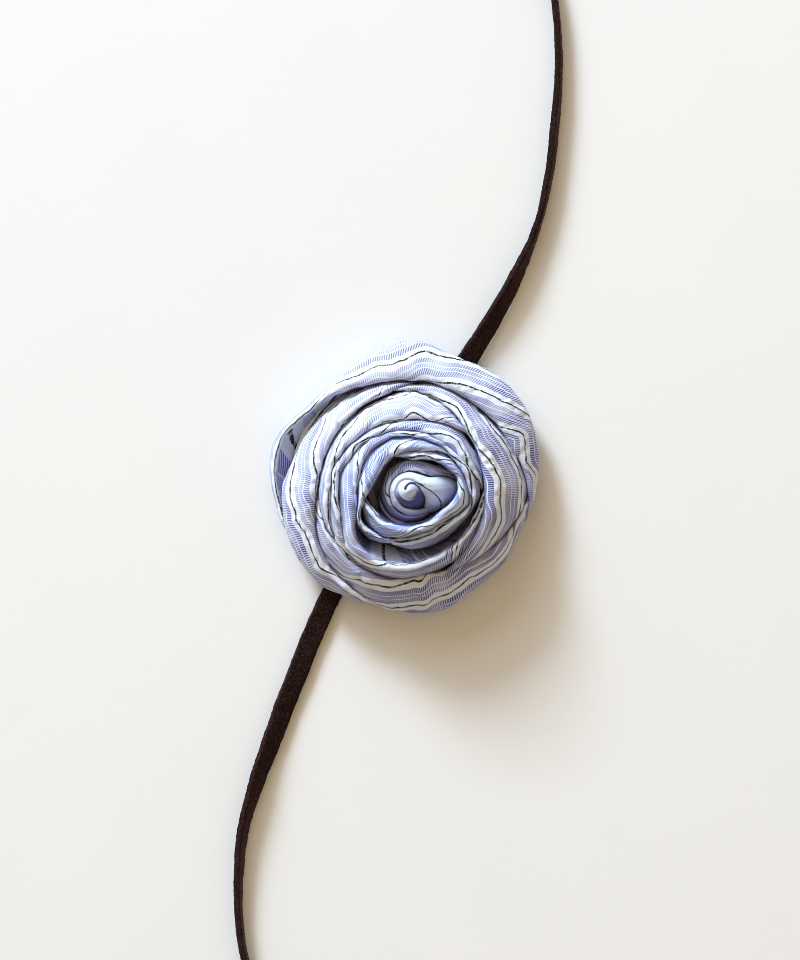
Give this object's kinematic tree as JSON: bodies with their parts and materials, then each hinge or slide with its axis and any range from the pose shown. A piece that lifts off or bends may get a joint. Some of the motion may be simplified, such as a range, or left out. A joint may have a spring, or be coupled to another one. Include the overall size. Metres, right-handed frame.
{
  "type": "fabric rose corsage",
  "caption": "Rolled striped cotton rose on a felt backing, with a flat suede lace that ties it round a wrist.",
  "frame": {"origin": "centre of the felt's flat back, on the surface that the corsage lies on", "axes": "+Z out of the rose's face, +Y towards the upper tail of the lace, +X to the right with the rose seen from its face"},
  "size_m": [0.0854, 0.3122, 0.0245],
  "materials": {
    "striped_cotton": "white cotton shirting with blue hatched stripes and fine black lines",
    "felt": "dark brown felt",
    "suede": "dark brown suede with a fine nap"
  },
  "bodies": {
    "root": {"rose": "striped_cotton", "felt_backing": "felt", "lace_held": "suede", "lace_tail_upper": "suede", "lace_tail_lower": "suede"}
  },
  "joints": []
}
